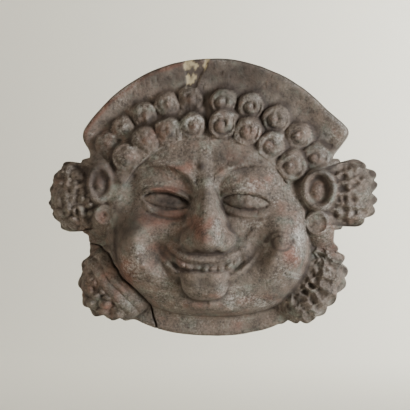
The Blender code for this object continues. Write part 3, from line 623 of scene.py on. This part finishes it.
def relief(x, z):
    """Depth of the front everywhere: the smooth maximum of plate, crest, tufts, hair, face and ears, with
    a quarter circle round the edge of the plate, less the cuts and plus the wear."""
    inside = -edge_distance(x, z)
    flare = 2.6 * fade(np.hypot(x, z), 92, CREST_RADIUS)
    crest = CREST_DEPTH + flare - 8 * fade(crest_edge(x, z), -1, 4)
    depth = smooth_max(np.full_like(x, PLATE_DEPTH), crest, 2)
    edge = np.clip(EDGE_ROUND - inside, 0, EDGE_ROUND)
    depth = depth - (EDGE_ROUND - np.sqrt(EDGE_ROUND**2 - edge**2))
    for tuft in TUFTS.values():
        depth = smooth_max(depth, tuft_depth(x, z, tuft), 1.5)
    depth = smooth_max(depth, hair_band(x, z), 3)
    throat = 4.5 * fade(z, -48, -68) * fade(np.abs(x), 50, 34)
    jaw = 10 * fade(x, -48, -60) * fade(z, -52, -34) * fade(z, 12, 0)
    depth = smooth_max(depth, face(x, z), 1.5 + throat + jaw)
    for shape, table, blend in ((ear, EARS, 1), (temple, TEMPLES, 6), (ear_disc, DISCS, 0.6)):
        for values in table:
            depth = smooth_max(depth, shape(x, z, *values), blend)
    depth = smooth_max(depth, curls(x, z), 3)
    cut = 4 * swell(crack_distance(x, z), 0.36 + 0.22 * fade(z, -28, -55))
    cut = cut + 1.2 * filled_break(x, z) * fade(inside, 0, 2)
    for scratch in SCRATCHES:
        cut = cut + 0.5 * swell(line_distance(x, z, scratch), 0.5)
    return depth - cut + wear(x, z)


# %% [markdown]
# ## The mesh
# A square grid cut to the outline would have a staircase for an edge. Instead the grid is bent into a
# disc, ring for ring, and each ring is scaled along its direction, so that one ring lies on the edge of
# the face and the last one on the outline. The steep flanks then follow the rings. A plain side wall
# and the hollowed back close the solid, with half as many points round the back as round the wall.

# %% Grid, wall and back
GRID = 272
WALL_ROWS = 6
BACK_RINGS = 22
# shares of the grid's rings for the face and for the band, 2.5 mm to each side of the face's edge
FACE_SHARE, RIM_SHARE, RIM_BAND = 0.6, 0.08, 2.5
HOLLOW_CENTRE_Z, HOLLOW_DEPTH = -14.0, 26.0
BACK_CHAMFER = 1.5


def face_rim(x, z):
    """Negative inside the line where the face meets the hair above it and the plate below it."""
    hairline = np.hypot(x - PARTING_X, z - HAIR_CENTRE_Z) - HAIRLINE_RADIUS
    return np.maximum(hairline, (face_share(x, z) - 1) * FACE_LEFT)


def square_to_disc(a, b):
    """Share of the radius, max(|a|, |b|), and angle, 45 degrees times the smaller over the larger."""
    wide = np.abs(a) >= np.abs(b)
    with np.errstate(divide="ignore", invalid="ignore"):
        angle = np.where(wide, math.pi / 4 * b / a, math.pi / 2 - math.pi / 4 * a / b)
    share = np.where(wide, a, b)
    return np.abs(share), np.where(share == 0, 0, angle) + np.where(share < 0, math.pi, 0)


def hollow_depth(x, z):
    """Depth of the hollow in the back: 26 (1 - share^2.2)^0.75, with the marks of the presser's fingers."""
    share = oval(x, z - HOLLOW_CENTRE_Z, 54, 46, 2.5)
    deep = HOLLOW_DEPTH * np.maximum(1 - share**2.2, 0) ** 0.75
    fingers = fade(share, 1, 0.6) * 1.2 * layered(x, z, 16, 101)
    return deep + fingers + 0.15 * (layered(x, z, 9, 103) + 1.8)


def ring_quads(first, second):
    """Faces between two closed rows of as many points: each pair joined to the pair beside it."""
    return np.stack([second, np.roll(second, -1), np.roll(first, -1), first], axis=1)


size = GRID + 1
a, b = np.meshgrid(np.linspace(-1, 1, size), np.linspace(-1, 1, size))
share, angle = square_to_disc(a.ravel(), b.ravel())
way = np.mod(angle, 2 * math.pi)
edge_radius = np.interp(way, every_way, outline)
face_radius = np.interp(way, every_way, radius_of(face_rim, every_way))
within = share / FACE_SHARE * (face_radius - RIM_BAND)
across = face_radius - RIM_BAND + 2 * RIM_BAND * (share - FACE_SHARE) / RIM_SHARE
past = (share - FACE_SHARE - RIM_SHARE) / (1 - FACE_SHARE - RIM_SHARE)
beyond = face_radius + RIM_BAND + (edge_radius - face_radius - RIM_BAND) * past
reach = np.where(share < FACE_SHARE, within, np.where(past < 0, across, beyond))
front_x, front_z = reach * np.cos(angle), reach * np.sin(angle)
front_depth = relief(front_x, front_z)
lowest, highest = round(front_depth.min(), 1), round(front_depth.max(), 1)
print("front:", size * size, "points, depth", lowest, "to", highest, "mm")

# %% [markdown]
# The wall goes down from the outline in a few rows, and the back closes in from it in rings towards the
# middle of the hollow. Every face is walked the same way round, so that all of them look outwards.

# %% Closing the solid
number = np.arange(size * size).reshape(size, size)
rim = np.concatenate([number[0, :-1], number[:-1, -1], number[-1, :0:-1], number[:0:-1, 0]])
corners = [number[:-1, :-1], number[:-1, 1:], number[1:, 1:], number[1:, :-1]]
points = [np.stack([front_x, front_depth, front_z], axis=1)]
quads = [np.stack(corners, axis=2).reshape(-1, 4)]
row, count = rim, size * size
cos_way, sin_way, rim_radius = np.cos(angle[rim]), np.sin(angle[rim]), edge_radius[rim]
for n in range(1, WALL_ROWS + 1):
    down = n / WALL_ROWS
    wave = 0.3 * layered(rim_radius * angle[rim], down * 20, 8, 105) * math.sin(math.pi * down)
    wall = rim_radius + wave - 0.2
    depth = front_depth[rim] + (BACK_CHAMFER - front_depth[rim]) * down
    points.append(np.stack([wall * cos_way, depth, wall * sin_way], axis=1))
    new = count + np.arange(len(rim))
    quads.append(ring_quads(row, new))
    row, count = new, count + len(rim)
half_cos, half_sin, half_radius = cos_way[::2], sin_way[::2], rim_radius[::2] - BACK_CHAMFER
for n in range(BACK_RINGS):
    ring = half_radius * (1 - n / BACK_RINGS)
    x, z = ring * half_cos, ring * half_sin + HOLLOW_CENTRE_Z * n / BACK_RINGS
    points.append(np.stack([x, hollow_depth(x, z), z], axis=1))
    new = count + np.arange(len(half_cos))
    if n == 0:
        low, middle, high, after = row[::2], row[1::2], np.roll(row[::2], -1), np.roll(new, -1)
        fans = ((low, new, middle), (middle, new, after), (middle, after, high))
        triangles = [np.stack(fan_of, axis=1) for fan_of in fans]
    else:
        quads.append(ring_quads(row, new))
    row, count = new, count + len(half_cos)
deepest = float(hollow_depth(np.zeros(1), np.full(1, HOLLOW_CENTRE_Z))[0])
points.append(np.array([[0.0, deepest, HOLLOW_CENTRE_Z]]))
triangles.append(np.stack([row, np.full(len(row), count), np.roll(row, -1)], axis=1))
points, quads, triangles = np.concatenate(points), np.concatenate(quads), np.concatenate(triangles)
print("solid:", len(points), "points,", 2 * len(quads) + len(triangles), "triangles")

# %% [markdown]
# ## Weather
# Weather marks a relief by its shape: dirt stays in the hollows, and rubbing shows the clay's own red
# on what stands out. The hollows also get painted shade, darker the deeper they lie, where light would
# reach them less. So the depth is compared with its own average nearby: lower than that is a hollow,
# and higher is a crest. Unlike marks painted at fixed places, these follow every change of shape.

# %% Hollows and crests
def nearby_average(values, times):
    """Each point's mean with its four neighbours on the grid, repeated: a blur that grows with its root."""
    grid = values.reshape(size, size)
    for _ in range(times):
        wide = np.pad(grid, 1, mode="edge")
        beside = wide[:-2, 1:-1] + wide[2:, 1:-1] + wide[1:-1, :-2] + wide[1:-1, 2:]
        grid = (grid + beside) / 5
    return grid.ravel()


here = (front_x, front_z)
coarse, fine = nearby_average(front_depth, 60), nearby_average(front_depth, 10)
# dirt and painted shade: darker the further a point lies below its broad and its close average depth
hollow_shade_and_dirt = np.clip((coarse - front_depth) / 6, 0, 1) * 0.22
hollow_shade_and_dirt = hollow_shade_and_dirt + np.clip((fine - front_depth) / 1.2, 0, 1) * 0.5
raised = np.clip((front_depth - coarse) / 3, 0, 1)
hair, inside = in_hair(*here, 102), -edge_distance(*here)
print("share of the front in a hollow:", round(float((hollow_shade_and_dirt > 0.1).mean()), 2))

# %% [markdown]
# Other stains have places of their own, such as the red of the nose. Some dark places are painted
# shade rather than stains, such as the darkening under the left eye, in the eyes and under the nose, and
# some pale ones are painted highlights. Each is a soft oval with a strength, so a stain can be moved or
# weakened by one number.

# %% Places of the stains
# centre x and z, half width and height in mm, and strength
RED_PATCHES = (
    (-1, -13, 11, 11, 0.85), (-34, -4, 14, 5, 0.75), (-57, -40, 7, 8, 0.8), (57, -31, 6.5, 9, 0.95),
    (-12, 33, 4, 10, 0.4), (-24, 30, 13, 2.5, 0.45), (2, -57, 13, 4, 0.6), (34, -60, 14, 4, 0.6),
    (-72.8, -2.6, 5, 5, 0.9), (40, 22, 12, 7, 0.45), (75.5, 14.5, 9, 11, 0.5), (-28, 14, 12, 2.5, 0.6),
    (28, 2, 6, 4, 0.5), (-10, -63, 14, 4, 0.45), (-70, -40, 9, 12, 0.4), (-76, 19, 11, 15, 0.5),
)
# dirt, and painted shade: in both eyes, under the left eye, on the shaded upper left cheek, under the  nose
# and its left wing, and beside the face on the lower right tuft
DIRT_AND_SHADE_PATCHES = (
    (-28, 7, 16, 5.5, 0.65), (20.5, 5.5, 14, 8, 0.4), (-34, -2, 18, 7, 0.6), (-50, -10, 12, 8, 0.35),
    (-64, -24, 8, 16, 0.35), (45, -26, 11, 11, 0.4), (-55, -18, 8, 10, 0.3), (1, -28, 16, 2.6, 0.5),
    (-10, -24.5, 9, 4, 0.35), (0, -50, 17, 9, 0.45), (0, -83, 60, 8, 0.3), (-60, 8, 9, 14, 0.25),
    (48, -52, 14, 8, 0.25), (26, 0.5, 15, 4, 0.4), (60, -58, 14, 16, 0.35), (95, 12, 18, 22, 0.3),
    (-4.2, 30.1, 3.6, 3.6, 0.85), (-76, 19, 12, 17, 0.35), (18, 37, 22, 9, 0.55),
    (-25, -30, 10, 9, 0.28), (29, -35, 8, 10, 0.36), (10, 94, 70, 13, 0.45), (-100, 8, 18, 25, 0.2),
    (-74, -50, 16, 20, 0.15),
)
# pale crust, and painted highlights on lit flanks: the right edge of the face, the right side of the  nose,
# the left cheek's inner flank and the right of the chin
CRUST_AND_HIGHLIGHT_PATCHES = (
    (62.5, -22, 5, 20, 0.42), (8, -10, 3, 12, 0.22), (84, 55, 10, 12, 0.25), (16, -59, 7, 9, 0.4),
    (32, -63, 14, 5, 0.3), (-48, -38, 8, 12, 0.42), (25, 16, 12, 5, 0.25), (-8, -46, 8, 7, 0.15),
    (45, -45, 16, 7, 0.18),
)


def patches(table):
    """For each row of a table its strength times e to the minus share^2.2 of its oval."""
    for mid_x, mid_z, half_width, half_height, strength in table:
        share = oval(front_x - mid_x, front_z - mid_z, half_width, half_height)
        yield strength * np.exp(-share**2.2)


print("patches:", len(RED_PATCHES), "red,", len(DIRT_AND_SHADE_PATCHES), "dirty and", len(CRUST_AND_HIGHLIGHT_PATCHES), "pale")

# %% [markdown]
# Red clay shows in its patches, on the knob of each curl and along the rubbed rim of the crest. The
# pale crust lies on what stands out, in the scratches and along the rim. The pale patches also paint
# highlights where light falls: the right edge of the face, the right side of the nose, the inner flank of
# the left cheek and the right of the chin. Noise breaks up both.

# %% Red clay, crust with painted highlights, and plaster
red = np.zeros_like(front_x)
for patch in patches(RED_PATCHES):
    red = np.maximum(red, patch)
red = red + 0.3 * layered(*here, 18, 111) + 0.15 * layered(*here, 5, 113)
for _, mid_x, mid_z, radius, *_ in CURLS:
    red = np.maximum(red, 0.36 * swell(np.hypot(front_x - mid_x, front_z - mid_z), 0.5 * radius))
rim_red = 0.8 * swell(inside - 2, 2.2) * fade(front_z, 40, 60) * fade(front_x, 30, -30)
red = np.maximum(red, rim_red)
crust_and_highlight = 0.04 * hair * (0.6 + raised) + 0.18 * layered(*here, 9, 121)
crust_and_highlight = crust_and_highlight + (0.1 + 0.1 * hair) * unevenness(*here, 2, 123)
crust_and_highlight = crust_and_highlight + 0.25 * swell(inside - 1.2, 1.4) * fade(front_z, 45, 62)
tufted = fade(front_x, 60, 84) * fade(face_share(*here), 1, 1.1)
crust_and_highlight = crust_and_highlight + (0.1 * hair + 0.15 * tufted) * np.clip((front_depth - fine) / 1.4, 0, 1)
# pale crust and painted highlights from the patches
for patch in patches(CRUST_AND_HIGHLIGHT_PATCHES):
    crust_and_highlight = crust_and_highlight + patch
for scratch in SCRATCHES:
    crust_and_highlight = crust_and_highlight + 0.45 * swell(line_distance(*here, scratch), 0.35)
plaster = filled_break(*here) * fade(layered(*here, 3.6, 131), -0.1, 0.4)
print("mean share of red and crust:", round(float(red.mean()), 2), round(float(crust_and_highlight.mean()), 2))

# %% [markdown]
# Dirt fills the hair and the crack, and the field of the crest is darker. This dark layer also keeps two
# worn drawings: a swirl on the right cheek, two turns of a spiral squeezed from the sides, and a ring on
# each eye. With its patches it carries painted shade too, in the eyes and under the nose.

# %% Dirt and painted shade, and the marks of every point
SWIRL_X, SWIRL_Z, SWIRL_GROWTH = 50.5, -21.0, 0.6
# centre x and z and strength of the ring on each eye
IRISES, IRIS_RADIUS = ((-27.5, 5.2, 0.4), (29, 4.4, 0.18)), 3.6
# red, crust and dirt of the side wall and the back
PLAIN_MARKS = (0.25, 0.1, 0.15)
crack = 0.6 * swell(crack_distance(*here), 0.7)
dirt_and_shade = 0.24 * hair + 0.18 * layered(*here, 13, 141)
dirt_and_shade = dirt_and_shade + 0.22 * fade(np.hypot(front_x, front_z), 86, 96) * fade(front_z, 30, 45)
# dirt and painted shade from the patches
for patch in patches(DIRT_AND_SHADE_PATCHES):
    dirt_and_shade = dirt_and_shade + patch
aside, up = front_x - SWIRL_X, front_z - SWIRL_Z
out = np.hypot(aside / 1.25, up) - SWIRL_GROWTH * np.arctan2(up, aside)
broken = 0.5 + 0.5 * layered(*here, 5, 143)
dirt_and_shade = dirt_and_shade + 0.9 * broken * (swell(out - 6.4, 1.2) + swell(out - 3, 0.9))
for iris_x, iris_z, strength in IRISES:
    dirt_and_shade = dirt_and_shade + strength * swell(np.hypot(front_x - iris_x, front_z - iris_z) - IRIS_RADIUS, 1.1)
marks = np.zeros((len(points), 4))
marks[:, 3] = 1
# channels: red, pale crust with painted highlights, and dirt with painted shade
for channel, shares in enumerate((red, crust_and_highlight, hollow_shade_and_dirt + crack + dirt_and_shade)):
    marks[: size * size, channel] = np.clip(shares, 0, 1)
marks[size * size :, :3] = PLAIN_MARKS
mend = np.zeros(len(points))
mend[: size * size] = plaster
print("mean share of red, crust and dirt:", marks[:, :3].mean(axis=0).round(2))

# %% [markdown]
# Red, crust with its painted highlights, and dirt with its painted shade travel with the mesh in one
# colour attribute and the plaster in another, for the material to read. A last look at the faces shows
# that the solid is closed and not inside out.

# %% The object
def add_object(name, data):
    """Makes an object of a mesh, light or camera and links it to the scene."""
    new = bpy.data.objects.new(name, data)
    bpy.context.scene.collection.objects.link(new)
    return new


ORIGIN_Z = 72.0  # the solid's origin lies that far above the centre of the crest's arc
mesh = bpy.data.meshes.new("terracotta_mask_antefix")
placed = np.stack([points[:, 0], -points[:, 1], points[:, 2] - ORIGIN_Z], axis=1) * MM
mesh.from_pydata(placed.tolist(), [], quads.tolist() + triangles.tolist())
mesh.shade_smooth()
colour = mesh.attributes.new("marks", "FLOAT_COLOR", "POINT")
colour.data.foreach_set("color", marks.ravel())
plaster_share = mesh.attributes.new("plaster", "FLOAT", "POINT")
plaster_share.data.foreach_set("value", mend)
antefix = add_object("terracotta_mask_antefix", mesh)
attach(antefix, "root")
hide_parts("mask_antefix")
split = np.concatenate([quads[:, [0, 1, 2]], quads[:, [0, 2, 3]], triangles])
ends = np.concatenate([split[:, [0, 1]], split[:, [1, 2]], split[:, [2, 0]]])
ways = set(map(tuple, ends.tolist()))
first, second, third = (placed[split[:, n]] for n in range(3))
volume = np.einsum("ij,ij->i", first, np.cross(second, third)).sum() / 6.0
closed = len(ways) == len(ends) and all((q, p) in ways for p, q in ways)
print("every edge is walked once each way:", closed)
print("volume:", round(volume * 1e6), "cm3, positive when the faces point outwards")

# %% [markdown]
# ## Fired clay
# The clay is a brown-grey terracotta, matt and finely grained, with its red body showing where it is
# rubbed, a pale mineral crust on the curls and dirt in the hollows, and with painted highlights and
# painted shade carried by the same marks. Clay is a dielectric, so it keeps an IOR near 1.5 and a high
# roughness. Noise in Object coordinates breaks up the marks at 40, 12, 8 and 1.5 mm, the sizes of a
# stain, a blotch, a scuff and a grain of grit. Each mark is added to a noise before a soft threshold,
# which frays its edge.

# %% Colours and one function for nodes
def linear(hex_colour):
    """sRGB hex to linear RGBA: below 0.04045 divided by 12.92, above it ((c + 0.055) / 1.055)^2.4."""
    c = np.array([int(hex_colour[i : i + 2], 16) for i in (1, 3, 5)]) / 255.0
    value = np.where(c <= 0.04045, c / 12.92, ((c + 0.055) / 1.055) ** 2.4)
    return (*value.tolist(), 1.0)


def node(tree, kind, inputs=None, **settings):
    """Adds one node. Settings are its own properties; inputs are values or the sockets they come from."""
    new = tree.nodes.new(kind)
    for name, value in settings.items():
        setattr(new, name, value)
    for name, value in (inputs or {}).items():
        if isinstance(value, bpy.types.NodeSocket):
            tree.links.new(value, new.inputs[name])
        else:
            new.inputs[name].default_value = value
    return new


# %% The clay's material
clay = bpy.data.materials.new("weathered terracotta")
clay.use_nodes = True
tree = clay.node_tree
shader = tree.nodes["Principled BSDF"]
place = node(tree, "ShaderNodeTexCoord").outputs["Object"]
marks_read = node(tree, "ShaderNodeSeparateColor", {
    "Color": node(tree, "ShaderNodeAttribute", attribute_name="marks").outputs["Color"]})
plaster_read = node(tree, "ShaderNodeAttribute", attribute_name="plaster").outputs["Fac"]


def noise(to_the_metre, detail, roughness):
    """Noise from 0 to 1 with that many blotches to the metre."""
    inputs = {"Vector": place, "Scale": to_the_metre, "Detail": detail, "Roughness": roughness}
    return node(tree, "ShaderNodeTexNoise", inputs).outputs[0]


def mix(share, under, over, **settings):
    """One colour over another: 0 keeps the first and 1 the second."""
    inputs = {0: share, 6: under, 7: over}
    return node(tree, "ShaderNodeMix", inputs, data_type="RGBA", **settings).outputs[2]


stain, scuff = noise(25.0, 6.0, 0.6), noise(125.0, 6.0, 0.65)
blotch, grit = noise(80.0, 5.0, 0.7), noise(650.0, 3.0, 0.7)
body = mix(stain, linear("#645348"), linear("#6b675e"))
# the pale layer also lays painted highlights, and the dark last layer also lays painted shade
# share from the marks, noise that breaks it up, where it starts and ends, colour
layers = (
    (0.0, blotch, 0.47, 0.84, "#737c71"),
    (marks_read.outputs[0], scuff, 0.54, 1.30, "#6c4f43"),
    (marks_read.outputs[1], grit, 0.55, 1.25, "#9d9c95"),
    (marks_read.outputs[2], grit, 0.60, 1.45, "#3d342d"),
)
for share_of, broken_by, start, end, hex_colour in layers:
    total = node(tree, "ShaderNodeMath", {0: share_of, 1: broken_by}, operation="ADD").outputs[0]
    amount = node(tree, "ShaderNodeMapRange", {0: total, 1: start, 2: end}, interpolation_type="SMOOTHSTEP")
    body = mix(amount.outputs[0], body, linear(hex_colour))
mottle = node(tree, "ShaderNodeMath", {0: scuff, 1: grit}, operation="ADD").outputs[0]
speckle = node(tree, "ShaderNodeMapRange", {0: mottle, 1: 0.70, 2: 1.30, 3: 0.32, 4: 1.70})
body = mix(1.0, body, speckle.outputs[0], blend_type="MULTIPLY")
body = mix(plaster_read, body, linear("#ada07f"))
bump = node(tree, "ShaderNodeBump", {"Strength": 0.5, "Distance": 0.0008, "Height": mottle})
tree.links.new(body, shader.inputs["Base Color"])
tree.links.new(bump.outputs[0], shader.inputs["Normal"])
shader.inputs["Roughness"].default_value = 0.78
shader.inputs["IOR"].default_value = 1.5
mesh.materials.append(clay)
print("material:", clay.name, "with", len(tree.nodes), "nodes")

# %% [markdown]
# ## Studio
# A pale sweep lies well below the antefix, which is held by its back and so hangs free. A broad soft
# light stands to the right and a little above, as a window would. A weak one at the left and a pale
# world stand for the room, and a third brightens the wall behind. A long lens looks at the front from a
# few degrees to the right.

# %% Sweep
# metres: front end of the floor, start of the bend, wall, radius of the bend, top, floor, half width
FRONT_Y, BEND_Y, WALL_Y, BEND_RADIUS, TOP_Z, FLOOR_Z, HALF_WIDTH = -3.5, 2.4, 3.6, 1.2, 4.0, -0.40, 4.0


def sweep_profile(steps=48):
    """Flat floor from the front to the back, then a quarter circle up to a wall, as y and z in metres."""
    turn = np.linspace(0.0, math.pi / 2, steps)
    y = np.concatenate([[FRONT_Y], BEND_Y + BEND_RADIUS * np.sin(turn), [WALL_Y]])
    z = np.concatenate([[0.0], BEND_RADIUS - BEND_RADIUS * np.cos(turn), [TOP_Z]])
    return y, z + FLOOR_Z


sweep_y, sweep_z = sweep_profile()
grid_x, grid_y = np.meshgrid(np.array([-HALF_WIDTH, HALF_WIDTH]), sweep_y)
sweep_points = np.stack([grid_x, grid_y, np.repeat(sweep_z[:, None], 2, axis=1)], axis=2).reshape(-1, 3)
first = np.arange(len(sweep_y) - 1) * 2
sweep_faces = np.stack([first, first + 1, first + 3, first + 2], axis=1)
sweep_mesh = bpy.data.meshes.new("floor")
sweep_mesh.from_pydata(sweep_points.tolist(), [], sweep_faces.tolist())
sweep_mesh.shade_smooth()
floor = add_object("floor", sweep_mesh)
paper = bpy.data.materials.new("matt white paint")
paper.use_nodes = True
surface = paper.node_tree.nodes["Principled BSDF"].inputs
surface["Base Color"].default_value, surface["Roughness"].default_value = linear("#d3d0c6"), 0.95
sweep_mesh.materials.append(paper)
print("floor", round(-FLOOR_Z, 2), "m below the origin, with", len(sweep_faces), "faces")

# %% Lights
def soft_light(name, place, aim, power, size, colour):
    """A square area light at a place, turned so that its face looks at the aim."""
    data = bpy.data.lights.new(name, "AREA")
    data.energy, data.size, data.color = power, size, linear(colour)[:3]
    light = add_object(name, data)
    light.location = place
    light.rotation_euler = (Vector(aim) - Vector(place)).to_track_quat("-Z", "Y").to_euler()
    print(name, "light:", power, "W over", size, "m")


MASK_MIDDLE = (0.0, 0.0, -0.07)
soft_light("window", (1.38, -0.80, 0.16), MASK_MIDDLE, 39.0, 0.7, "#f9faff")
soft_light("room", (-1.35, -1.30, 0.10), MASK_MIDDLE, 8.5, 1.2, "#fff4ec")
soft_light("sweep light", (2.3, 2.3, 0.6), (1.1, 3.6, 0.2), 330.0, 0.8, "#fbfdf8")
world = bpy.data.worlds.new("pale room")
world.use_nodes = True
glow = world.node_tree.nodes["Background"].inputs
glow["Color"].default_value, glow["Strength"].default_value = linear("#efe3d0"), 0.42
bpy.context.scene.world = world

# %% Camera
AZIMUTH = math.radians(6.0)
DISTANCE = 1.2
PIXELS, MM_PER_PIXEL = 410, 0.71
SENSOR_MM = 36.0
FRAME_WIDTH = PIXELS * MM_PER_PIXEL * MM
toward = Vector((math.sin(AZIMUTH), -math.cos(AZIMUTH), 0.0))
right = Vector((math.cos(AZIMUTH), math.sin(AZIMUTH), 0.0))
# the middle of the picture lies 9.7 pixels left of the origin and 4.2 mm above the arc's centre
aim = right * (-9.7 * MM_PER_PIXEL * MM) + Vector((0.0, 0.0, (4.2 - ORIGIN_Z) * MM))
lens = bpy.data.cameras.new("camera")
lens.sensor_width = SENSOR_MM
lens.lens = SENSOR_MM * DISTANCE / FRAME_WIDTH
camera = add_object("camera", lens)
camera.location = aim + toward * DISTANCE
camera.rotation_euler = (-toward).to_track_quat("-Z", "Y").to_euler()
bpy.context.scene.camera = camera
print("lens:", round(lens.lens, 1), "mm")
